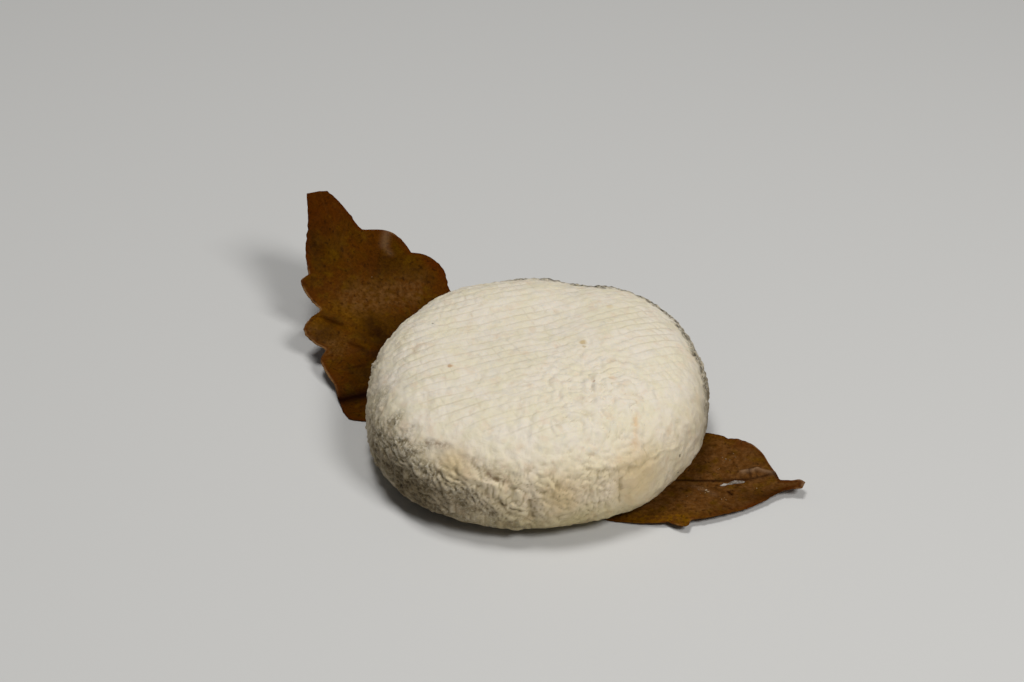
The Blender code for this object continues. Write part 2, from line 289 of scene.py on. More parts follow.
def vein_gap(distance, offset):
    """Distance from the nearest side vein, measured along the midrib. The veins leave the midrib
    at 45 degrees and run to the teeth."""
    start = np.where(offset < 0.0, NEAR_VEIN, FAR_VEIN)
    turns = (distance - np.abs(offset) - start) / VEIN_PITCH
    return np.abs(turns - np.round(turns)) * VEIN_PITCH


def patches(distance, offset, spots):
    """Share of a mark made of soft patches."""
    return np.clip(sum(np.exp(-((distance - s) / along) ** 2 - ((offset - w) / wide) ** 2)
                       for s, w, along, wide in spots), 0.0, 1.0)


def streaks(distance, offset, lines):
    """Share of a mark made of soft lines."""
    share = np.zeros_like(distance)
    for *ends, half, most in lines:
        share = np.maximum(share, most * bell(to_segment(distance, offset, *ends) / half))
    return share


def mark(bm, marks):
    """Keeps each mark's share on the vertices, where the material reads it."""
    for name, shares in marks.items():
        layer = bm.verts.layers.float.new(name)
        for vert, share in zip(bm.verts, shares):
            vert[layer] = share


def make_leaf():
    """A fine grid is bent along the midrib like the leaf's own blade, given its pads, veins and
    creases, and drawn down by its thickness. Its attributes mark the parts that dried to other
    colours, and where sheen, highlights and shade are painted."""
    bm = bmesh.new()
    bmesh.ops.create_grid(bm, x_segments=LEAF_STATIONS, y_segments=LEAF_COLUMNS, size=1.0)
    grid = np.array([vert.co.xy for vert in bm.verts])
    distance = (grid[:, 0] + 1.0) / 2.0 * LEAF_LENGTH
    skewed = rising(distance, LEAF_LENGTH - END_SKEW_RUN, END_SKEW_RUN)
    distance -= END_SKEW * skewed * (grid[:, 1] + 1.0) / 2.0
    side = np.where(grid[:, 1] < 0.0, -1.0, 1.0)
    reach = np.where(side < 0.0, half_width(distance, NEAR_HALF, NEAR_TEETH),
                     half_width(distance, FAR_HALF, FAR_TEETH))
    # The two margins fray apart from each other
    fray = cloud(np.stack((distance / FRAY_LENGTH, 7.0 * side, np.zeros_like(side)), axis=1), 1.0)
    reach = reach + FRAY_HEIGHT * fray * rising(reach, *FRAYED_WIDTH)
    offset = grid[:, 1] * reach
    place, heading, climb = midrib(distance)
    across = np.stack((np.sin(heading), -np.cos(heading), np.zeros_like(heading)), axis=1)
    upward = np.stack((-np.cos(heading) * np.sin(climb), -np.sin(heading) * np.sin(climb),
                       np.cos(climb)), axis=1)
    start = np.where(offset < 0.0, NEAR_FOLD_START, FAR_FOLD_START)
    fold = FOLD_ANGLE * falling(distance, start, FOLD_RUN)
    free = rising(distance, *RIPPLE_START)
    wave = np.sin(distance / RIPPLE_LENGTH * math.tau + offset / RIPPLE_SLANT)
    ripple = RIPPLE_HEIGHT * free * wave * np.abs(offset) / RIPPLE_REACH
    sheet = (place + across * (offset * np.cos(fold))[:, None]
             + upward * (np.abs(offset) * np.sin(fold) + ripple)[:, None])

    margin = np.minimum(reach - np.abs(offset), np.minimum(distance, LEAF_LENGTH - distance))
    margin = np.maximum(margin, 0.0)
    rib = bell((offset - rib_offset(distance)) / RIB_HALF_WIDTH)
    gap = vein_gap(distance, offset)
    vein = bell(gap / VEIN_HALF_WIDTH) * ease(margin / VEIN_FADE)
    pad = np.sqrt(np.clip(gap / (VEIN_PITCH / 2.0), 0.0, 1.0)) * ease(margin / PAD_FADE)
    crumple = cloud(sheet, CRUMPLE_SIZE) + FINE_CRUMPLE_SHARE * cloud(sheet, FINE_CRUMPLE_SIZE)
    relief = PAD_HEIGHT * (pad - 1.0) - VEIN_DEPTH * vein + CRUMPLE_HEIGHT * crumple
    relief -= RIB_DEPTH * rib * rising(distance, *RIB_START) * falling(distance, *RIB_END)
    for *ends, depth, half in LEAF_CREASES:
        relief -= depth * bell(to_segment(distance, offset, *ends) / half)
    pressed = rising(distance, *PRESSED_FROM) * falling(distance, *PRESSED_TO)
    relief *= 1.0 - PRESSED_SHARE * pressed

    s0, w0, s1, w1 = PAINTED_SHEEN_END
    inside = (offset - w0) * (s1 - s0) - (distance - s0) * (w1 - w0)
    inside /= math.hypot(s1 - s0, w1 - w0)
    pale_and_lit_margin = np.zeros_like(distance)
    for way, middle, half in PALE_AND_LIT_MARGINS:
        pale_and_lit_margin = np.maximum(pale_and_lit_margin, bell((distance - middle) / half) * (side == way))
    ruddy = np.maximum(bell(margin / RUDDY_MARGIN), patches(distance, offset, RUDDY))
    ruddy = np.maximum(ruddy, RUDDY_SHARE * rising(distance, *RUDDY_END))
    # The marks that the material reads; the sheen, some pale streaks and margins, and some dark lines
    # and patches are painted light and shade
    mark(bm, {"vein": np.maximum(vein, rib), "margin": margin, "pale_and_lit_margin": pale_and_lit_margin,
              "painted_sheen": patches(distance, offset, PAINTED_SHEEN) * ease(inside / PAINTED_SHEEN_RUN),
              "pale_streak_and_highlight": streaks(distance, offset, PALE_STREAKS_AND_HIGHLIGHTS),
              "dark_patch_and_fold_shade": patches(distance, offset, DARK_PATCHES_AND_FOLD_SHADE),
              "golden": patches(distance, offset, GOLDEN), "ruddy": ruddy,
              "dark_line_and_crease_shade": streaks(distance, offset, DARK_LINES_AND_CREASE_SHADE),
              "stalk_end": falling(distance, *STALK_COLOUR_END),
              "underside": np.zeros_like(distance)})
    for vert, point in zip(bm.verts, sheet):
        vert.co = point
    bmesh.ops.triangulate(bm, faces=bm.faces[:])
    bmesh.ops.reverse_faces(bm, faces=bm.faces[:])
    bm.normal_update()
    normals = [vert.normal.copy() for vert in bm.verts]
    # Where the leaf lies on the floor only its upper face follows the relief
    lifted = rising(sheet[:, 2], *OFF_FLOOR)
    # The margin is thinned from below, and a third as much from above
    thinning = MARGIN_THINNING * bell(margin / MARGIN_REACH)
    bottom = thinning + np.minimum(relief, 0.0) * lifted
    top = np.maximum(LEAF_THICKNESS + relief - thinning / 3.0, bottom + THINNEST)
    lower = [vert.co + normal * lift for vert, normal, lift in zip(bm.verts, normals, bottom)]
    for vert, normal, height in zip(bm.verts, normals, top):
        vert.co += normal * height
    place_below = {tuple(vert.co): point for vert, point in zip(bm.verts, lower)}
    below = bmesh.ops.extrude_face_region(bm, geom=bm.faces[:])["geom"]
    underside = bm.verts.layers.float["underside"]
    for vert in (item for item in below if isinstance(item, bmesh.types.BMVert)):
        vert.co = place_below[tuple(vert.co)]
        vert[underside] = 1.0
    bmesh.ops.recalc_face_normals(bm, faces=bm.faces[:])
    return bm


def masked(material, *masks):
    """The product of some masks. Each is a mark of the mesh by its name, or a node. One that comes
    with four numbers is eased: its span from the first to the second becomes that of the others."""
    product = None
    for mask in masks:
        mask, *span = mask if isinstance(mask, tuple) else (mask,)
        if isinstance(mask, str):
            mask = add_node(material, "Attribute", {"attribute_name": mask}).outputs["Fac"]
        if span:
            low, high, least, most = span
            mask = add_node(material, "MapRange", {
                "interpolation_type": "SMOOTHSTEP", "Value": mask, "From Min": low,
                "From Max": high, "To Min": least, "To Max": most})
        if product is not None:
            mask = add_node(material, "Math", {"operation": "MULTIPLY", "Value": product,
                                               "Value_001": mask})
        product = mask
    return product


def mottled(material, place, size, *span, detail=3.0, roughness=0.5, shift=0.0):
    """A mask of cloudy noise whose largest lumps are of this size, eased over this span. A shift
    takes it from another place."""
    clouds = add_node(material, "TexNoise", {
        "noise_dimensions": "4D", "W": shift, "Scale": 1.0 / size, "Detail": detail,
        "Roughness": roughness, "Vector": place})
    return masked(material, (clouds, *span))


def coat(material, under, colour, *masks, mode="MIX"):
    """Lays a colour over the one under it, as far as all of its masks show it."""
    return add_node(material, "Mix", {
        "data_type": "RGBA", "blend_type": mode, "Factor_Float": masked(material, *masks),
        "A_Color": under, "B_Color": colour})


# Dried leaf: matt to silky brown cellulose, olive in the middle of the blade and red at its margin
# and tip, speckled with dark rot, with a painted sheen of greyer brown where the blade faces the
# light, painted highlights on some ridges and edges, and painted shade in its folds and creases.
leaf_mesh = make_leaf()
dry_leaf = new_material("dried_brown_leaf")
leaf_place = add_node(dry_leaf, "TexCoord").outputs["Object"]
leaf_mottle = mottled(dry_leaf, leaf_place, 0.009, 0.35, 0.65, 0.0, 1.0)
leaf_film = mottled(dry_leaf, leaf_place, 0.0014, 0.35, 0.7, 0.15, 1.0, shift=4.0)
leaf_colour = coat(dry_leaf, "#4a2601", "#462a01", leaf_mottle)
# The coats from the first to the last: how each mixes, its colour and its masks
for mode, colour, *masks in (
        ("MIX", coat(dry_leaf, "#4e2d0a", "#603f1e", leaf_film), "stalk_end"),
        # Olive and dim blotches
        ("MIX", "#543802", mottled(dry_leaf, leaf_place, 0.0032, 0.50, 0.68, 0.0, 0.6, shift=6.0)),
        ("MIX", "#341c01", mottled(dry_leaf, leaf_place, 0.0026, 0.52, 0.70, 0.0, 0.5, shift=11.0)),
        # Where the blade dried to other colours, with a painted sheen and painted shade in its folds
        ("MIX", "#481e01", "ruddy", (leaf_mottle, 0.0, 1.0, 0.55, 0.95)),
        ("MIX", "#664203", "golden", leaf_film),
        ("MIX", "#5e3e1c", "painted_sheen", leaf_film),
        ("MIX", "#2a1300", "dark_patch_and_fold_shade", (leaf_film, 0.0, 1.0, 0.35, 0.8)),
        ("MIX", "#64411a", ("vein", 0.2, 1.0, 0.0, 0.08)),
        # Dots of rot
        ("MIX", "#251102",
         mottled(dry_leaf, leaf_place, 0.0013, 0.57, 0.70, 0.0, 0.6, detail=2.0, shift=9.0)),
        # Pale streaks, mostly painted highlights on folds and ridges, and dark lines, mostly painted
        # shade in creases and the midrib's groove
        ("MIX", "#765b42", "pale_streak_and_highlight"),
        ("MIX", "#180500", "dark_line_and_crease_shade"),
        # The pale edge, chipped and partly a painted highlight where it catches the light, and the
        # paler underside
        ("MIX", "#7e5f3c", ("margin", 0.0001, 0.0009, 1.0, 0.0), "pale_and_lit_margin",
         mottled(dry_leaf, leaf_place, 0.0030, 0.35, 0.6, 0.0, 1.0, shift=2.0)),
        ("MIX", "#6a4a26", ("underside", 0.4, 0.6, 0.0, 0.7)),
        # Fine lighter and darker grain all over
        ("MULTIPLY",
         mottled(dry_leaf, leaf_place, 0.0007, 0.30, 0.70, 0.76, 1.24, roughness=0.7, shift=13.0),
         1.0)):
    leaf_colour = coat(dry_leaf, leaf_colour, colour, *masks, mode=mode)
leaf_fibre = add_node(dry_leaf, "TexNoise", {
    "noise_dimensions": "4D", "Scale": 1.0 / 0.0011, "Detail": 4.0, "Roughness": 0.65,
    "Vector": leaf_place})
leaf_bump = add_node(dry_leaf, "Bump", {"Strength": 0.5, "Distance": 0.0003, "Height": leaf_fibre})
leaf_surface = add_node(dry_leaf, "BsdfPrincipled", {
    "Roughness": 0.55, "IOR": 1.45, "Specular IOR Level": 0.02, "Base Color": leaf_colour,
    "Normal": leaf_bump})
add_node(dry_leaf, "OutputMaterial", {"Surface": leaf_surface})

leaf_blade = new_piece("leaf_blade", leaf_mesh, dry_leaf)
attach(leaf_blade, "root")
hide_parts("leaf")


# ---------------------------------------------------------------- the cheese
# A small round of soft-ripened goat cheese, drained on a straw mat that left its weave in the top.
# The white mould has grown a wrinkled, brain-like skin down the side, which the soft paste beneath
# has sagged against, with grey-green mould in its folds where the air was damp.

CHEESE_RADIUS = 0.050
CHEESE_HEIGHT = 0.032
BELLY_HEIGHT = 0.009
FLAT_TOP_RADIUS = 0.019
FLAT_BASE_RADIUS = 0.035
SHOULDER_SQUARENESS = 2.8
UNDERCUT_SQUARENESS = 2.2
BASE_HEIGHT = LEAF_THICKNESS + 0.0003
OVAL = ((2, 0.034, 64.0), (3, 0.004, 0.0), (4, 0.010, 40.0))   # waves round, share, degrees
LUMP_SIZE, LUMP_HEIGHT = 0.020, 0.0010
FOLD_SIZE, FOLD_HEIGHT = 0.0055, 0.0007      # the broad wrinkles
FOLD_SHIFT = (7.0, 3.0, 5.0)
TOP_FOLD_SHARE, SIDE_FOLD_SHARE = 0.10, 0.55
SIDE_FOLD_TOP = (0.030, 0.010)    # where they end, and the run that they fade over
SMOOTH_BASE_HEIGHT = 0.006
DENT = (72.0, 11.0, 0.0016)       # degrees round, half angle, depth
DENT_RISE = 0.019
CREASES = ((-92.0, 2.2, 0.010, 0.0009), (-63.0, 2.4, 0.012, 0.0010),
           (-105.0, 2.0, 0.009, 0.0007), (-140.0, 2.6, 0.013, 0.0007))
CREASE_SPREAD = 0.006
TOP_GRID_RADIUS = 0.038
TOP_CELLS, SIDE_ROWS = 156, 112
PROFILE_STEPS = 800

# Fine wrinkles of the side: the part of the side they cover, as degrees round and half angle,
# width of one ridge, height, degrees that the ridges lean from level, spread of their directions
WRINKLES = (((-148.0, 40.0), 0.0015, 0.00043, -35.0, 80.0),
            ((-98.0, 30.0), 0.0016, 0.00048, -45.0, 100.0),
            ((-70.0, 20.0), 0.0016, 0.00041, 25.0, 170.0),
            ((-42.0, 22.0), 0.0019, 0.00014, 8.0, 150.0),
            ((0.0, 36.0), 0.0017, 0.00009, 70.0, 120.0),
            ((85.0, 60.0), 0.0018, 0.00034, 20.0, 150.0),
            ((160.0, 34.0), 0.0017, 0.00042, 40.0, 150.0))
WRINKLE_SEED = 30
WAVES = 26                        # waves that one field of wrinkles is the sum of
WAVE_SCATTER = 0.28
RIDGE_ROUNDNESS, RIDGE_LIMIT, RIDGE_MEAN = 0.85, 1.6, 0.8
VALLEY_WIDTH, CREST_START = 0.45, 0.9     # in a ridge's own height, which is about 1
DARK_VALLEY_HEIGHT = 0.0005       # wrinkles this tall have valleys of full olive tint and painted shade
WRINKLE_TOP, WRINKLE_RUN = 0.0290, 0.011     # the wrinkles fade out over the shoulder
WRINKLE_TOP_WAVER = (0.012, 0.004)     # size of the waver, height
# How the wrinkles wander, round the cheese in radians and up: size of the waver, shift, how far
WANDER = (((0.009, (3.0, 9.0, 1.0), 0.05), (0.0034, (9.0, 2.0, 4.0), 0.024)),
          ((0.008, (1.0, 5.0, 8.0), 0.0022), (0.0034, (5.0, 6.0, 2.0), 0.0012)))
UNEVEN = (0.0060, 0.55, 0.9)      # size of its patches, least height, how much more at the most
# Bloom all over: size and height of the lumps, and how far they give way where the rind is calmer
BLOOM = ((0.0048, 0.00022, 1.0), (0.0024, 0.00022, 1.0), (0.0013, 0.00017, 0.25))
BLOOM_GAP, BLOOM_SHADE = (-0.10, 0.25), 0.22      # the gaps between its middle lumps are this dark
GRANULES = (0.0010, 0.00031)      # crumbs of mould: size, height
GRANULE_RISE, GRANULE_WHITE = (0.02, 0.35), (0.10, 0.25)
FOLD_CRUMB = (0.0014, 0.45)       # crumbs on the wrinkles: size, share of the wrinkles' height
TOP_START = (0.024, 0.004)        # height that the top starts at
CALM_TOP = (0.040, 0.008, 0.35)   # the bloom is lower here: radius, run, share
CALM_FLANK = (-24.0, 26.0, 0.031, 0.008, 0.55)    # and here: degrees, half angle, height, run, share
SMOOTH_PATCH = ((0.0295, -0.0405, 0.0120), 0.0085, 0.85)    # the skin is drawn tight here, by this
# Long furrows, and smooth ridges where the depth is below 0: degrees round and height at each end,
# depth, half width
FURROWS = ((-73.0, 0.0208, -46.0, 0.0188, 0.00022, 0.0006),
           (-83.0, 0.0302, -68.0, 0.0310, 0.00022, 0.0005),
           (-74.0, 0.0222, -56.0, 0.0204, -0.00030, 0.0008),
           (-50.0, 0.0208, -41.0, 0.0192, 0.00018, 0.0005),
           (-93.0, 0.0147, -92.0, 0.0088, 0.00060, 0.0007),
           (-63.2, 0.0168, -63.6, 0.0098, 0.00050, 0.00045),
           (-102.0, 0.0135, -97.0, 0.0116, 0.00045, 0.0006),
           (-115.0, 0.0205, -101.0, 0.0180, -0.00050, 0.0010),
           (-112.0, 0.0237, -103.0, 0.0206, 0.00030, 0.0008),
           (-92.0, 0.0288, -69.0, 0.0284, -0.00026, 0.0009),
           (-69.0, 0.0284, -54.0, 0.0276, -0.00030, 0.0009),
           (-49.0, 0.0202, -37.0, 0.0182, -0.00025, 0.0008))
FURROW_SWAY = (0.004, 0.0014)     # size of the waver, how far
DARK_FURROW_DEPTH, PALE_RIDGE_HEIGHT = 0.0008, 0.0004      # these have their full colour: the furrows their olive tint and painted shade
# The mat's weave on the top: straws side by side, held by threads across them
STRAW_PITCH, THREAD_PITCH = 0.0033, 0.0030
STRAW_SLOPE, STRAW_BEND, STRAW_CURL = 0.4245, 5.5, 60.0     # at the middle, and how it grows to +X
STRAW_GROOVE = (0.00075, 0.00008)     # half width, depth
THREAD_GROOVE = (0.00070, 0.00007)
ROW_WAVER, STEP_WAVER = (0.009, 0.22), (0.007, 0.6)      # size of the waver, share of a pitch
WEAVE_RADIUS = (0.0445, 0.006)
CLEAR_SIZE, CLEAR_SHARE = 0.012, 0.45     # patches where the weave is clearer, and by how much
HELD_SIZE = 0.0045                # patches where the threads show
# Soft lumps of bloom on the near right of the top: place, reach
BLOOM_LUMPS = ((0.016, -0.026), 0.023)
LUMP_WIDTH, BLOOM_LUMP_HEIGHT = 0.0029, 0.00150
LUMP_ROUNDNESS, LUMP_MEAN = 0.7, 0.3
LUMP_FADE, LUMP_FADE_SHARE = (0.025, 0.011), 0.75      # lower to the right of this
LUMP_FOOT = (0.018, 0.008)
LUMP_GAP, LUMP_GAP_SHADE = (0.14, 0.12), 0.5
LUMPS_OVER_WEAVE = 0.65           # share of the weave that they hide
# Degrees round, then the height up to which grey-green mould grows, and how thickly
MOULD = ((-170, 0.0260, 0.45), (-156, 0.0282, 0.78), (-138, 0.0264, 1.0), (-128, 0.0248, 1.0),
         (-119, 0.0222, 0.82), (-111, 0.0186, 0.62), (-100, 0.0128, 0.5), (-88, 0.0070, 0.25),
         (-70, 0.0020, 0.2), (-40, 0.0, 0.05), (-25, 0.0060, 0.3), (-11, 0.0190, 0.8),
         (4, 0.0246, 1.0), (13, 0.0272, 1.0), (23, 0.0264, 1.0), (34, 0.0270, 1.0), (46, 0.0288, 1.0),
         (60, 0.0304, 1.0), (72, 0.0306, 1.0), (84, 0.0306, 1.0), (100, 0.0300, 1.0),
         (112, 0.0275, 0.9), (130, 0.0245, 0.8), (160, 0.0225, 0.7))
LEAST_MOULD = 0.6                 # share of it that is left in its thin patches
MOULD_STRAY, MOULD_STRAY_SIZE, MOULD_BLUR = 0.004, 0.0050, 0.004     # its upper edge
SOOT_STRAY, SOOT_STRAY_SIZE, SOOT_BLUR = 0.0020, 0.0013, 0.0018     # and where it is sooty
MOULD_SHADE_FOOT, MOULD_SHADE_FOOT_SHARE = (0.0235, 0.013), 1.25     # below this the skin is darker, dulled by mould and partly painted shade near the floor
SOOTY = (52.0, 66.0)              # near-black spores on the far right: degrees round, half angle
SOOT_RADIUS = (0.0372, 0.003)     # the sooty mould stays outside this
SOOT_UNDER, SOOT_SPREAD, LEAST_SOOT = 0.002, 0.0045, 0.30    # thickest this far under its edge
GREY_VEIL_AND_SHADE = (12.0, 36.0)               # thin grey young mould on the right, made stronger as painted shade on that side: degrees round, half angle
VEIL_AND_SHADE_TOP, VEIL_AND_SHADE_FOOT = (0.0300, 0.008), (0.008, 0.008)
LEAST_VEIL_AND_SHADE = 0.3                  # share of it that is left at the foot
CREAM_TOP = (0.0295, 0.011)       # cream paste shows through the thinner skin of the side
CREAM_BESIDE, CREAM_IN_FRONT = 0.7, 0.3      # share to the left and right, and how much more in front
FOOT_SHADE_TOP, FOOT_SHADE = (0.0150, 0.010), (-80.0, 37.24)      # the foot is darkened with painted shade: degrees, half angle
# Warm damp patches: place and reach
WARM = (((0.027, -0.041, 0.017), 0.0085), ((0.006, -0.049, 0.016), 0.0060),
        ((-0.022, -0.042, 0.022), 0.0055))
# Streaks, brown and pink: both ends, half width, share
BROWN_STREAKS = (((-0.0300, -0.0370, 0.0248), (-0.0245, -0.0397, 0.0254), 0.00110, 0.55),
                 ((-0.0200, -0.0435, 0.0235), (-0.0125, -0.0475, 0.0215), 0.00220, 0.25),
                 ((-0.0172, -0.0440, 0.0243), (-0.0167, -0.0447, 0.0228), 0.00050, 0.90),
                 ((-0.0134, -0.0473, 0.0218), (-0.0127, -0.0478, 0.0212), 0.00055, 0.90),
                 ((-0.0122, -0.0480, 0.0207), (-0.0096, -0.0487, 0.0200), 0.00060, 0.60),
                 ((-0.0200, -0.0440, 0.0215), (-0.0150, -0.0467, 0.0212), 0.00090, 0.25))
PINK_STREAKS = (((0.0263, -0.0305, 0.0282), (0.0262, -0.0330, 0.0272), 0.00085, 0.70),
                ((0.0262, -0.0330, 0.0272), (0.0256, -0.0385, 0.0236), 0.00085, 0.45),
                ((-0.0262, -0.0101, 0.0313), (-0.0236, -0.0100, 0.0315), 0.00045, 0.50))


def oval_scale(azimuth):
    """How far the plan of the cheese departs from a circle at this azimuth."""
    return 1.0 + sum(share * math.cos(waves * (azimuth - math.radians(turn)))
                     for waves, share, turn in OVAL)


def top_height(radius):
    """Height of the smooth upper surface at this radius."""
    out = max(0.0, radius - FLAT_TOP_RADIUS) / (CHEESE_RADIUS - FLAT_TOP_RADIUS)
    rise = CHEESE_HEIGHT - BELLY_HEIGHT
    return BELLY_HEIGHT + rise * (1.0 - out ** SHOULDER_SQUARENESS) ** (1.0 / SHOULDER_SQUARENESS)


def side_profile():
    """Radius and height down the smooth side, from the rim of the top grid to the flat base."""
    reach = CHEESE_RADIUS - FLAT_TOP_RADIUS
    rim_cosine = (1.0 - (CHEESE_RADIUS - TOP_GRID_RADIUS) / reach) ** (SHOULDER_SQUARENESS / 2.0)
    angles = np.linspace(math.acos(rim_cosine), 0.0, PROFILE_STEPS)
    radii = CHEESE_RADIUS - reach * (1.0 - np.cos(angles) ** (2.0 / SHOULDER_SQUARENESS))
    rise = CHEESE_HEIGHT - BELLY_HEIGHT
    heights = BELLY_HEIGHT + rise * np.sin(angles) ** (2.0 / SHOULDER_SQUARENESS)
    angles = np.linspace(0.0, math.pi / 2.0, PROFILE_STEPS)[1:]
    cosines = np.clip(np.cos(angles), 0.0, 1.0)
    tuck = CHEESE_RADIUS - FLAT_BASE_RADIUS
    radii = np.append(radii, CHEESE_RADIUS - tuck * (1.0 - cosines ** (2.0 / UNDERCUT_SQUARENESS)))
    drop = BELLY_HEIGHT - BASE_HEIGHT
    lower = BELLY_HEIGHT - drop * np.sin(angles) ** (2.0 / UNDERCUT_SQUARENESS)
    heights = np.append(heights, lower)
    run = np.append(0.0, np.cumsum(np.hypot(np.diff(radii), np.diff(heights))))
    even = np.linspace(0.0, run[-1], SIDE_ROWS + 1)
    return np.interp(even, run, radii), np.interp(even, run, heights)


def round_cheese():
    """A square grid is rounded to a disc for the top, its rim is drawn down row by row, and the
    last row is closed with one flat face."""
    bm = bmesh.new()
    bmesh.ops.create_grid(bm, x_segments=TOP_CELLS, y_segments=TOP_CELLS, size=1.0)
    for vert in bm.verts:
        u, v = (math.sqrt(2.0) * math.sin(math.radians(45.0) * side) for side in vert.co.xy)
        x = TOP_GRID_RADIUS * u * math.sqrt(1.0 - v * v / 2.0)
        y = TOP_GRID_RADIUS * v * math.sqrt(1.0 - u * u / 2.0)
        scale = oval_scale(math.atan2(y, x))
        vert.co = (x * scale, y * scale, top_height(math.hypot(x, y)))
    radii, heights = side_profile()
    rim = [edge for edge in bm.edges if edge.is_boundary]
    for inner, outer, height in zip(radii[:-1], radii[1:], heights[1:]):
        drawn = bmesh.ops.extrude_edge_only(bm, edges=rim)["geom"]
        rim = [item for item in drawn if isinstance(item, bmesh.types.BMEdge)]
        for vert in (item for item in drawn if isinstance(item, bmesh.types.BMVert)):
            vert.co.x *= outer / inner
            vert.co.y *= outer / inner
            vert.co.z = height
    bmesh.ops.holes_fill(bm, edges=rim)
    bmesh.ops.recalc_face_normals(bm, faces=bm.faces[:])
    bm.normal_update()
    return bm


def around(points):
    """Azimuth, radius and height of each point."""
    return (np.arctan2(points[:, 1], points[:, 0]), np.hypot(points[:, 0], points[:, 1]),
            points[:, 2])


def turned_from(azimuth, degrees):
    """Angle round from a bearing in degrees, between -pi and pi."""
    return (azimuth - math.radians(degrees) + math.pi) % math.tau - math.pi


def facing(azimuth, degrees, half_angle):
    """Share that dies away round the cheese on both sides of a bearing."""
    return bell(turned_from(azimuth, degrees) / math.radians(half_angle))


def near(points, place, reach):
    """Share that dies away on all sides of a place."""
    return np.exp(-((points - place) ** 2).sum(axis=1) / reach ** 2)


def ridges(azimuth, height, width, lean, spread, seed):
    """Ridges of an even width that wander over the side, 0 in their valleys. They are the size of
    a sum of waves of one length, so they branch and close like the folds of a brain."""
    rng = np.random.default_rng(seed)
    field = np.zeros_like(azimuth)
    for _ in range(WAVES):
        across = math.radians(lean + 90.0 + spread * (rng.random() - 0.5))
        number = math.tau / (2.0 * width) * rng.normal(1.0, WAVE_SCATTER)
        round_waves = round(number * math.cos(across) * CHEESE_RADIUS)
        field += np.cos(azimuth * round_waves + height * number * math.sin(across)
                        + rng.random() * math.tau)
    return np.abs(field) * math.sqrt(2.0 / WAVES)


def soft_form(points, upper, lumpy):
    """Relief of the broad lumps, folds and creases with the bloom on them, and the bloom's gaps."""
    azimuth, radius, height = around(points)
    folds = FOLD_HEIGHT * (0.5 - 2.0 * np.abs(cloud(points, FOLD_SIZE, FOLD_SHIFT)))
    side = falling(height, *SIDE_FOLD_TOP)
    folds *= TOP_FOLD_SHARE + (SIDE_FOLD_SHARE - TOP_FOLD_SHARE) * side
    relief = LUMP_HEIGHT * cloud(points, LUMP_SIZE) + folds
    for turn, half_angle, middle, deepest in CREASES:
        relief -= deepest * facing(azimuth, turn, half_angle) * bell((height - middle) / CREASE_SPREAD)
    start, run, share = CALM_TOP
    calm = 1.0 - share * falling(radius, start, run) * upper * (1.0 - lumpy)
    turn, half_angle, start, run, share = CALM_FLANK
    calm *= 1.0 - share * facing(azimuth, turn, half_angle) * falling(height, start, run)
    bloom = [cloud(points, size, (seed, 4.0, 2.0)) for seed, (size, _, _) in enumerate(BLOOM)]
    for clouds, (_, tall, held_back) in zip(bloom, BLOOM):
        relief += tall * (1.0 - held_back * (1.0 - calm)) * clouds
    return relief, BLOOM_SHADE * falling(bloom[1], *BLOOM_GAP)


def side_skin(points):
    """Relief of the side's fine wrinkles and furrows, and how deep in them or high on their crests
    each vertex lies."""
    azimuth, _, height = around(points)
    sway, lift = (sum(far * cloud(points, size, shift) for size, shift, far in wavers)
                  for wavers in WANDER)
    size, tall = WRINKLE_TOP_WAVER
    shown = ease((WRINKLE_TOP + tall * cloud(points, size) - height) / WRINKLE_RUN)
    tight, reach, share = SMOOTH_PATCH
    shown *= 1.0 - share * near(points, tight, reach)
    size, least, more = UNEVEN
    uneven = least + more * ease(0.5 + 1.5 * cloud(points, size, (2.0, 8.0, 3.0)))
    size, share = FOLD_CRUMB
    crumbly = share * (0.45 - 2.0 * np.abs(cloud(points, size, (3.0, 3.0, 7.0))))
    relief, hollow_tint_and_shade, crest = np.zeros((3, len(points)))
    weights = [facing(azimuth, *where) for where, *_ in WRINKLES]
    total = sum(weights)
    for seed, (weight, (_, width, tall, lean, spread)) in enumerate(zip(weights, WRINKLES)):
        field = ridges(azimuth + sway, height + lift, width, lean, spread, seed + WRINKLE_SEED)
        share = weight / total * shown
        ridge = np.minimum(field, RIDGE_LIMIT) ** RIDGE_ROUNDNESS - RIDGE_MEAN
        relief += tall * share * (uneven * ridge + crumbly)
        # Valleys of the wrinkles: olive tint and painted shade
        hollow_tint_and_shade += share * bell(field / VALLEY_WIDTH) * min(1.0, tall / DARK_VALLEY_HEIGHT)
        crest += share * rising(field, CREST_START, CREST_START)
    size, far = FURROW_SWAY
    bent = height + far * cloud(points, size, (6.0, 3.0, 4.0))
    for turn0, height0, turn1, height1, depth, half in FURROWS:
        level = CHEESE_RADIUS * turned_from(azimuth, turn0)
        ends = CHEESE_RADIUS * math.radians(turn1 - turn0)
        furrow = bell(to_segment(level, bent, 0.0, height0, ends, height1) / half)
        relief -= depth * furrow
        hollow_tint_and_shade += max(0.0, depth / DARK_FURROW_DEPTH) * furrow
        crest += max(0.0, -depth / PALE_RIDGE_HEIGHT) * furrow
    return relief, hollow_tint_and_shade, crest


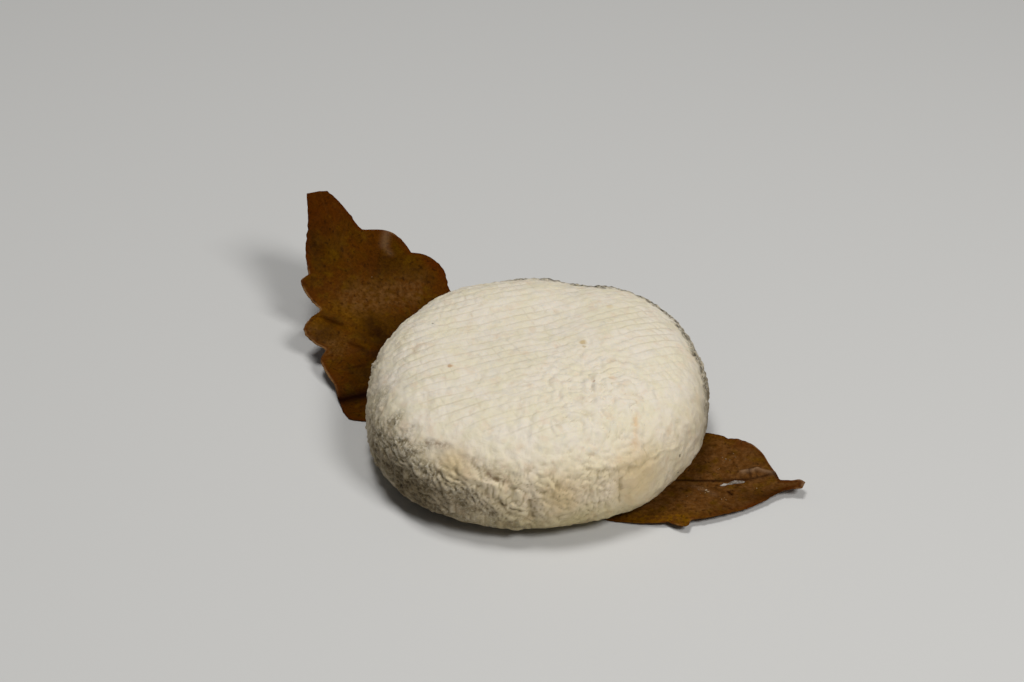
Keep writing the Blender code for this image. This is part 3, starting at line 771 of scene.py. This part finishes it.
def top_weave(points, upper, lumpy):
    """Relief of the mat's weave and of the soft lumps of bloom on the top, the gaps between the
    lumps, and each vertex's place in the weave."""
    _, radius, height = around(points)
    x, y = points[:, 0], points[:, 1]
    on_top = falling(radius, *WEAVE_RADIUS) * upper
    heading = np.arctan(STRAW_SLOPE + STRAW_BEND * x + STRAW_CURL * x * x)
    rise = STRAW_SLOPE * x + STRAW_BEND / 2.0 * x ** 2 + STRAW_CURL / 3.0 * x ** 3
    row = (y - rise) * math.cos(math.atan(STRAW_SLOPE)) / STRAW_PITCH
    step = (x * np.cos(heading) + y * np.sin(heading)) / THREAD_PITCH
    row += ROW_WAVER[1] * cloud(points, ROW_WAVER[0], (2.0, 2.0, 6.0))
    step += STEP_WAVER[1] * cloud(points, STEP_WAVER[0], (4.0, 1.0, 3.0))
    between = np.abs(row - np.round(row)) * STRAW_PITCH
    beside = np.abs(step - np.round(step)) * THREAD_PITCH
    clear = ease(0.5 + 1.6 * cloud(points, CLEAR_SIZE, (8.0, 4.0, 2.0)))
    woven = on_top * (1.0 - CLEAR_SHARE + CLEAR_SHARE * clear) * (1.0 - LUMPS_OVER_WEAVE * lumpy)
    held = ease(0.5 + 2.0 * cloud(points, HELD_SIZE, (7.0, 2.0, 5.0)))
    straw = bell(between / STRAW_GROOVE[0]) * woven
    thread = bell(beside / THREAD_GROOVE[0]) * woven * held
    lumps = np.abs(cloud(points, LUMP_WIDTH, (5.0, 7.0, 9.0))) ** LUMP_ROUNDNESS
    raised = BLOOM_LUMP_HEIGHT * (lumps - LUMP_MEAN) * lumpy * rising(height, *LUMP_FOOT)
    relief = raised - STRAW_GROOVE[1] * straw - THREAD_GROOVE[1] * thread
    gaps = LUMP_GAP_SHADE * lumpy * falling(lumps, *LUMP_GAP)
    return relief, gaps, {"row": row, "step": step, "woven": woven, "held": woven * held}


def rind_relief(points):
    """Height of the rind above the smooth form at each vertex, how deep it lies in a fold, how high
    on a crest, and its place in the weave."""
    upper = rising(points[:, 2], *TOP_START)
    lumpy = near(points[:, :2], *BLOOM_LUMPS)
    lumpy *= 1.0 - LUMP_FADE_SHARE * rising(points[:, 0], *LUMP_FADE)
    broad, bloom_gaps = soft_form(points, upper, lumpy)
    fine, hollow_tint_and_shade, crest = side_skin(points)
    woven, lump_gaps, weave = top_weave(points, upper, lumpy)
    hollow_tint_and_shade = np.clip(hollow_tint_and_shade + bloom_gaps + lump_gaps, 0.0, 1.0)
    return broad + fine + woven, hollow_tint_and_shade, np.clip(crest, 0.0, 1.0), weave


def streaked(points, lines):
    """Share of a mark made of soft lines on the rind."""
    share = np.zeros(len(points))
    for start, end, half, most in lines:
        start, way = np.array(start), np.array(end) - np.array(start)
        along = np.clip((points - start) @ way / (way @ way), 0.0, 1.0)
        off = np.linalg.norm(points - start - along[:, None] * way, axis=1)
        share = np.maximum(share, most * bell(off / half))
    return share


def grow_mould(points):
    """Relief of the crumbs of mould and how white they are, and the marks of the mould, of its black
    spores and of the skin that is darker towards the foot, dulled by the mould and partly painted
    shade."""
    azimuth, radius, height = around(points)
    turns, *bands = zip(*MOULD)
    line, thick = (np.interp(np.degrees(azimuth), turns, band, period=360.0) for band in bands)
    ragged = cloud(points, MOULD_STRAY_SIZE)
    grainy = cloud(points, SOOT_STRAY_SIZE)
    turn, half_angle = SOOTY
    far = bell((turned_from(azimuth, turn) / math.radians(half_angle)) ** 2)
    edge = line + (MOULD_STRAY - SOOT_STRAY * far) * ragged + SOOT_STRAY * far * grainy
    blur = MOULD_BLUR + (SOOT_BLUR - MOULD_BLUR) * far
    patchy = LEAST_MOULD + (1.0 - LEAST_MOULD) * ease(0.55 + 1.3 * ragged)
    mould = falling(height, edge, blur) * thick * patchy
    mould *= np.maximum(1.0 - far, rising(radius, *SOOT_RADIUS))
    rimmed = bell((height - line + SOOT_UNDER) / SOOT_SPREAD)
    soot = far * (LEAST_SOOT + (1.0 - LEAST_SOOT) * rimmed)
    # Darker towards the foot: dulled by mould, and partly painted shade near the floor
    mould_and_foot_shade = MOULD_SHADE_FOOT_SHARE * thick ** 2 * falling(height, *MOULD_SHADE_FOOT) * (0.8 + 0.4 * ragged)
    size, tall = GRANULES
    granules = cloud(points, size)
    relief = tall * rising(granules, *GRANULE_RISE) * np.minimum(mould, 1.0)
    white = rising(granules, *GRANULE_WHITE) * mould * (1.0 - 0.5 * far)
    return relief, white, {"mould": mould, "soot": soot * mould, "mould_and_foot_shade": np.clip(mould_and_foot_shade, 0.0, 1.0)}


def make_cheese():
    """The smooth round with its rind's relief. Its attributes mark where each finish lies, and where
    shade is painted.
    """
    bm = round_cheese()
    points = np.array([vert.co for vert in bm.verts])
    azimuth, radius, height = around(points)
    relief, hollow_tint_and_shade, crest, weave = rind_relief(points)
    crumbs, white, mould = grow_mould(points)
    turn, half_angle, deepest = DENT
    on_side = rising(radius, FLAT_TOP_RADIUS, CHEESE_RADIUS - FLAT_TOP_RADIUS)
    on_side *= rising(height, BELLY_HEIGHT, DENT_RISE)
    kept = rising(height, BASE_HEIGHT, SMOOTH_BASE_HEIGHT)
    relief = kept * (relief + crumbs) - deepest * facing(azimuth, turn, half_angle) * on_side
    # A grey veil of young mould on the right side, partly painted shade there
    grey_veil_and_shade = facing(azimuth, *GREY_VEIL_AND_SHADE) * falling(height, *VEIL_AND_SHADE_TOP)
    grey_veil_and_shade *= LEAST_VEIL_AND_SHADE + (1.0 - LEAST_VEIL_AND_SHADE) * rising(height, *VEIL_AND_SHADE_FOOT)
    cream = falling(height, *CREAM_TOP) * (CREAM_BESIDE - CREAM_IN_FRONT * np.sin(azimuth))
    # Among the marks, the hollows are olive tint with painted shade, the foot's darkening is painted
    # shade, and the veil is partly painted shade
    mark(bm, {"hollow_tint_and_shade": hollow_tint_and_shade, "crest": np.maximum(crest, white), "grey_veil_and_shade": grey_veil_and_shade, "cream": cream,
              "warm": np.clip(sum(near(points, *place) for place in WARM), 0.0, 1.0),
              "foot_shade": facing(azimuth, *FOOT_SHADE) * falling(height, *FOOT_SHADE_TOP),
              "brown": streaked(points, BROWN_STREAKS), "pink": streaked(points, PINK_STREAKS),
              **mould, **weave})
    moved = [vert.co + vert.normal * shift for vert, shift in zip(bm.verts, relief)]
    for vert, place in zip(bm.verts, moved):
        vert.co = place
    return bm


# Bloomy rind: a dry, matt skin of white mould over cream paste, which light enters a little. Cream
# shows through it in faint warmer and cooler blotches, and its folds are olive and darkened with
# painted shade.
cheese_mesh = make_cheese()
rind = new_material("bloomy_white_rind")
rind_place = add_node(rind, "TexCoord").outputs["Object"]
# The straws and threads of the mat left fine lines, drawn at every whole row and step of the weave
rind_lines = []
for count, shown, width, strength in (("row", "woven", 0.17, 0.9), ("step", "held", 0.20, 0.65)):
    off = add_node(rind, "Math", {"operation": "PINGPONG", "Value": masked(rind, count),
                                  "Value_001": 0.5})
    rind_lines.append(masked(rind, (off, 0.01, width, strength, 0.0), shown))
rind_line = add_node(rind, "Math", {"operation": "MAXIMUM", "Value": rind_lines[0],
                                    "Value_001": rind_lines[1]})
# Grey-green mould grows in grains, thicker in the hollows, and leaves white bloom on the crests
mould_grain = mottled(rind, rind_place, 0.0008, 0.38, 0.62, 0.30, 0.84, roughness=0.7)
mould_cover = add_node(rind, "Math", {"operation": "MULTIPLY_ADD", "Value": masked(rind, "hollow_tint_and_shade"),
                                      "Value_001": 0.38, "Value_002": mould_grain})
mould_cover = add_node(rind, "Math", {"operation": "MULTIPLY", "use_clamp": True,
                                      "Value": mould_cover, "Value_001": masked(rind, "mould")})
rind_white = add_node(rind, "Math", {"operation": "ADD", "use_clamp": True,
                                     "Value": masked(rind, "mould"), "Value_001": 0.2})
rind_white = masked(rind, "crest", rind_white)
rind_blush = mottled(rind, rind_place, 0.0035, 0.52, 0.72, 0.0, 0.6, detail=2.0, shift=3.0)
rind_ragged = mottled(rind, rind_place, 0.0009, 0.35, 0.55, 0.35, 1.0, shift=6.0)
rind_colour = coat(rind, "#e2d8c6", "#dfd5bb",
                   mottled(rind, rind_place, 0.006, 0.35, 0.65, 0.0, 1.0))
# The coats from the first to the last: how each mixes, its colour and its masks
for mode, colour, *masks in (
        # Warmer and cooler blotches
        ("MIX", "#dac7ae", rind_blush),
        ("MIX", "#cfc9bb",
         mottled(rind, rind_place, 0.0026, 0.55, 0.75, 0.0, 0.5, detail=2.0, shift=7.0)),
        # The cream of the paste tints what lies over it; the foot is darkened with painted shade, and
        # a grey veil of young mould on the right is partly painted shade
        ("MULTIPLY", "#fff8ec", "cream"),
        ("MULTIPLY", "#d3d2bb", "foot_shade"),
        ("MIX", "#b3aa99", "grey_veil_and_shade", (rind_blush, 0.0, 0.6, 0.50, 0.25)),
        # Warm patches, folds olive and darkened with painted shade, and the lines of the mat
        ("MIX", "#cbad74", ("warm", 0.05, 1.0, 0.0, 0.50)),
        ("MIX", "#9c8a66", ("hollow_tint_and_shade", 0.1, 1.0, 0.0, 0.75)),
        # The lines of the mat: painted shade along the grooves of the weave
        ("MIX", "#9c8a66", (rind_line, 0.0, 1.0, 0.0, 0.25)),
        # Mould, its black spores, and the white bloom and pale flecks on it
        ("MIX", "#76694c", mould_cover),
        ("MIX", "#2e2a22", "soot",
         mottled(rind, rind_place, 0.0011, 0.44, 0.55, 0.0, 1.0, shift=5.0)),
        ("MIX", "#dfd4bd", (rind_white, 0.1, 0.9, 0.0, 0.70)),
        ("MIX", "#e2dac8", "mould",
         mottled(rind, rind_place, 0.0006, 0.56, 0.66, 0.0, 0.85, shift=12.0)),
        # Darker towards the foot where mould grows: dulled by the mould, and partly painted shade near
        # the floor
        ("MULTIPLY", "#9a907b", "mould_and_foot_shade"),
        # Streaks
        ("MIX", "#765b3e", "brown", rind_ragged),
        ("MIX", "#d8b68a", "pink", rind_ragged)):
    rind_colour = coat(rind, rind_colour, colour, *masks, mode=mode)
# Specks on the rind: place, radius, colour, how much of the rind's own colour it covers
SPECKS = (((-0.0243, -0.0101, 0.0315), 0.00085, "#bd9468", 0.75),
          ((0.0128, 0.0007, 0.0323), 0.00105, "#b89a5e", 0.65),
          ((0.0130, -0.0016, 0.0322), 0.00055, "#b0986c", 0.55),
          ((0.0153, -0.0190, 0.0321), 0.00050, "#a87850", 0.75),
          ((0.0205, -0.0170, 0.0320), 0.00120, "#d6b592", 0.50),
          ((0.0210, 0.0200, 0.0320), 0.00110, "#d3bd92", 0.50),
          ((0.0391, -0.0286, 0.0141), 0.00040, "#0c0906", 1.00),
          ((0.0387, -0.0284, 0.0084), 0.00034, "#1c1610", 0.90),
          ((-0.0296, 0.0128, 0.0309), 0.00034, "#6a604c", 0.80))
rind_shaken = add_node(rind, "TexNoise", {
    "noise_dimensions": "4D", "W": 8.0, "Scale": 1.0 / 0.0007, "Detail": 3.0, "Vector": rind_place})
rind_shaken = add_node(rind, "MixRGB", {
    "blend_type": "LINEAR_LIGHT", "Fac": 0.0006, "Color1": rind_place,
    "Color2": rind_shaken.outputs["Color"]})
for place, radius, colour, cover in SPECKS:
    off = add_node(rind, "VectorMath", {"operation": "DISTANCE", "Vector": rind_shaken,
                                        "Vector_001": place}).outputs["Value"]
    rind_colour = coat(rind, rind_colour, colour, (off, radius * 0.4, radius * 1.4, cover, 0.0))
rind_velvet = add_node(rind, "TexNoise", {
    "noise_dimensions": "4D", "Scale": 1.0 / 0.0010, "Detail": 4.0, "Roughness": 0.75,
    "Vector": rind_place})
rind_weave = add_node(rind, "Bump", {"invert": True, "Strength": 1.0, "Distance": 0.00003,
                                     "Height": rind_line})
rind_bump = add_node(rind, "Bump", {"Strength": 0.75, "Distance": 0.00035, "Height": rind_velvet,
                                    "Normal": rind_weave})
rind_surface = add_node(rind, "BsdfPrincipled", {
    "Roughness": 0.68, "IOR": 1.40, "Specular IOR Level": 0.35, "Subsurface Weight": 0.12,
    "Subsurface Radius": (1.0, 0.75, 0.45), "Subsurface Scale": 0.0010,
    "Base Color": rind_colour, "Normal": rind_bump})
add_node(rind, "OutputMaterial", {"Surface": rind_surface})

cheese_round = new_piece("cheese_round", cheese_mesh, rind)
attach(cheese_round, "root")
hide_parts("cheese")


# ------------------------------------------------------ crumbs and dried curd
# A thin sliver of curd that dried half clear, and crumbs of rind and curd that dropped off the
# cheese. They lie loose on the leaf, nearly all of them towards its stalk end.

SLIVER_PATH = ((0.0, 0.0240, 0.0004), (0.35, 0.0222, 0.0009), (0.7, 0.0196, 0.0017),
               (1.0, 0.0168, 0.0018))      # share of its length, distance and offset on the leaf
SLIVER_HALF_WIDTH, SLIVER_HALF_HEIGHT = 0.00085, 0.00042
SLIVER_WAIST, WAIST_HALF_LENGTH, WAIST_SHARE = 0.42, 0.10, 0.5     # where along it is pinched
SLIVER_TIP = 0.55                 # share of its width at its first end
PITS_ALONG, PIT_SHARE = 9.0, 0.35
# Crumbs: distance and offset on the leaf, size
CRUMBS = ((0.0300, -0.0024, 0.0005), (0.0296, -0.0043, 0.0004), (0.0280, -0.0027, 0.0007),
          (0.0276, -0.0035, 0.0006), (0.0271, -0.0032, 0.0005), (0.0288, -0.0015, 0.0004),
          (0.0283, -0.0040, 0.0004), (0.0224, 0.0118, 0.0004), (0.0215, 0.0111, 0.0005),
          (0.0204, 0.0105, 0.0004), (0.0192, 0.0133, 0.0004), (0.0188, 0.0118, 0.0004),
          (0.0221, 0.0100, 0.0003), (0.0240, 0.0068, 0.0004), (0.0236, 0.0073, 0.0003),
          (0.0240, -0.0072, 0.0004), (0.0228, -0.0075, 0.0005), (0.0232, -0.0063, 0.0003),
          (0.0138, -0.0020, 0.0003), (0.0330, -0.0060, 0.0003), (0.1688, 0.0044, 0.0004))
CRUMB_SEED = 11
CRUMB_TILT, CRUMB_LIFT = 0.3, 0.22     # in radians, and as a share of its size
WELL_ABOVE = Vector((0.0, 0.0, 0.02))


def on_leaf(distance, offset, over):
    """The point of the leaf's upper face at this distance and offset, and the way out of it."""
    place, heading, _ = midrib(np.array([distance]))
    across = Vector((math.sin(heading[0]), -math.cos(heading[0]), 0.0))
    above = Vector(place[0]) + across * offset + WELL_ABOVE
    point, way, _, _ = over.ray_cast(above, Vector((0.0, 0.0, -1.0)))
    return point, way


def set_down(bm, over):
    """The crumbs: small balls pulled out of round, each turned its own way and set on the leaf."""
    rng = np.random.default_rng(CRUMB_SEED)
    for distance, offset, size in CRUMBS:
        point, way = on_leaf(distance, offset, over)
        ball = bmesh.ops.create_icosphere(bm, subdivisions=2, radius=size / 2.0)["verts"]
        shape = Vector(rng.uniform((0.8, 0.55, 0.5), (1.3, 0.9, 0.75)))
        for vert in ball:
            vert.co *= 1.0 + 0.5 * noise.noise(vert.co / (0.5 * size) + point / 0.001)
        bmesh.ops.scale(bm, verts=ball, vec=shape)
        turn = Euler((CRUMB_TILT * rng.normal(), CRUMB_TILT * rng.normal(),
                      rng.uniform(0.0, math.tau)))
        bmesh.ops.rotate(bm, verts=ball, cent=(0.0, 0.0, 0.0), matrix=turn.to_matrix())
        bmesh.ops.translate(bm, verts=ball, vec=point + way * size * CRUMB_LIFT)


def lay_sliver(bm, over):
    """One ball drawn out along its path on the leaf, pinched and pitted."""
    ball = bmesh.ops.create_icosphere(bm, subdivisions=4, radius=1.0)["verts"]
    shares, distances, offsets = zip(*SLIVER_PATH)
    for vert in ball:
        along = vert.co.x / 2.0 + 0.5
        pinch = 1.0 - WAIST_SHARE * bell((along - SLIVER_WAIST) / WAIST_HALF_LENGTH)
        pinch *= SLIVER_TIP + (1.0 - SLIVER_TIP) * along
        distance = np.interp(along, shares, distances)
        point, way = on_leaf(distance, np.interp(along, shares, offsets), over)
        side = way.cross(Vector((1.0, 0.0, 0.0))).normalized()
        pit = Vector((along * PITS_ALONG, vert.co.y, vert.co.z))
        pit = 1.0 + PIT_SHARE * noise.noise(pit)
        vert.co = (point + side * vert.co.y * SLIVER_HALF_WIDTH * pinch * pit
                   + way * (vert.co.z * pit + 0.5) * SLIVER_HALF_HEIGHT * pinch)
    bmesh.ops.recalc_face_normals(bm, faces=bm.faces[:])


# Dried curd: waxy and half clear, so that the brown of the leaf greys it, with a soft shine where
# it dried hard. Crumbs of rind: matt, a warm tan with pale flecks of bloom.
leaf_top = BVHTree.FromObject(leaf_blade, bpy.context.evaluated_depsgraph_get())
for name, lay, stuff, deep, pale, fleck, gloss in (
        ("curd_sliver", lay_sliver, "dried_curd", "#63584c", "#857b71", "#b0aaa2", 0.42),
        ("crumbs", set_down, "rind_crumb", "#674c2d", "#836849", "#ab9a80", 0.80)):
    scrap = new_material(stuff)
    scrap_place = add_node(scrap, "TexCoord").outputs["Object"]
    scrap_colour = coat(scrap, deep, pale, mottled(scrap, scrap_place, 0.0010, 0.40, 0.60, 0.0, 1.0))
    scrap_colour = coat(scrap, scrap_colour, fleck,
                        mottled(scrap, scrap_place, 0.0013, 0.50, 0.66, 0.0, 0.8, shift=3.0))
    scrap_grit = add_node(scrap, "TexNoise", {
        "noise_dimensions": "4D", "Scale": 1.0 / 0.0004, "Detail": 3.0, "Vector": scrap_place})
    scrap_bump = add_node(scrap, "Bump", {"Strength": 0.4, "Distance": 0.0001,
                                          "Height": scrap_grit})
    scrap_surface = add_node(scrap, "BsdfPrincipled", {
        "Roughness": gloss, "IOR": 1.45, "Specular IOR Level": 0.4, "Subsurface Weight": 0.2,
        "Subsurface Radius": (1.0, 0.8, 0.6), "Subsurface Scale": 0.0006,
        "Base Color": scrap_colour, "Normal": scrap_bump})
    add_node(scrap, "OutputMaterial", {"Surface": scrap_surface})
    dropped = bmesh.new()
    lay(dropped, leaf_top)
    piece = new_piece(name, dropped, scrap)
    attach(piece, "root")


# --------------------------------------------- floor, lights and camera
# A pale sheet of card to stand on, one softbox overhead, one in front to the right, and a level
# grey surround.

bpy.ops.mesh.primitive_plane_add(size=4.0)
floor = bpy.context.object
floor.name = "floor"
card = new_material("pale_card")
card_surface = add_node(card, "BsdfPrincipled", {"Base Color": "#c9c8c5", "Roughness": 0.9})
add_node(card, "OutputMaterial", {"Surface": card_surface})
floor.data.materials.append(card)


def softbox(name, side, turn, climb, away, power):
    """A square light of this side, aimed at the cheese from this bearing and elevation."""
    light = bpy.data.lights.new(name, "AREA")
    light.size = side
    light.energy = power
    lamp = bpy.data.objects.new(name, light)
    turn, climb = math.radians(turn), math.radians(climb)
    way = Vector((math.cos(turn) * math.cos(climb), math.sin(turn) * math.cos(climb),
                  math.sin(climb)))
    lamp.location = way * away
    lamp.rotation_euler = way.to_track_quat("Z", "Y").to_euler()
    bpy.context.scene.collection.objects.link(lamp)


softbox("top_light", 0.35, 140.0, 82.0, 1.2, 6.8)
softbox("front_light", 0.35, -48.0, 48.0, 1.2, 7.7)
surround = bpy.data.worlds.new("surround")
surround.use_nodes = True
surround.node_tree.nodes["Background"].inputs["Color"].default_value = linear("#d8d8d8")
surround.node_tree.nodes["Background"].inputs["Strength"].default_value = 0.12
bpy.context.scene.world = surround
bpy.context.scene.view_settings.view_transform = "Standard"

camera = bpy.data.objects.new("camera", bpy.data.cameras.new("camera"))
camera.data.lens = 85.0
camera.data.sensor_width = 36.0
camera.data.clip_start = 0.01
camera.location = (-0.0071, -0.5677, 0.4018)
camera.rotation_euler = (math.radians(57.0), 0.0, 0.0)
bpy.context.scene.collection.objects.link(camera)
bpy.context.scene.camera = camera
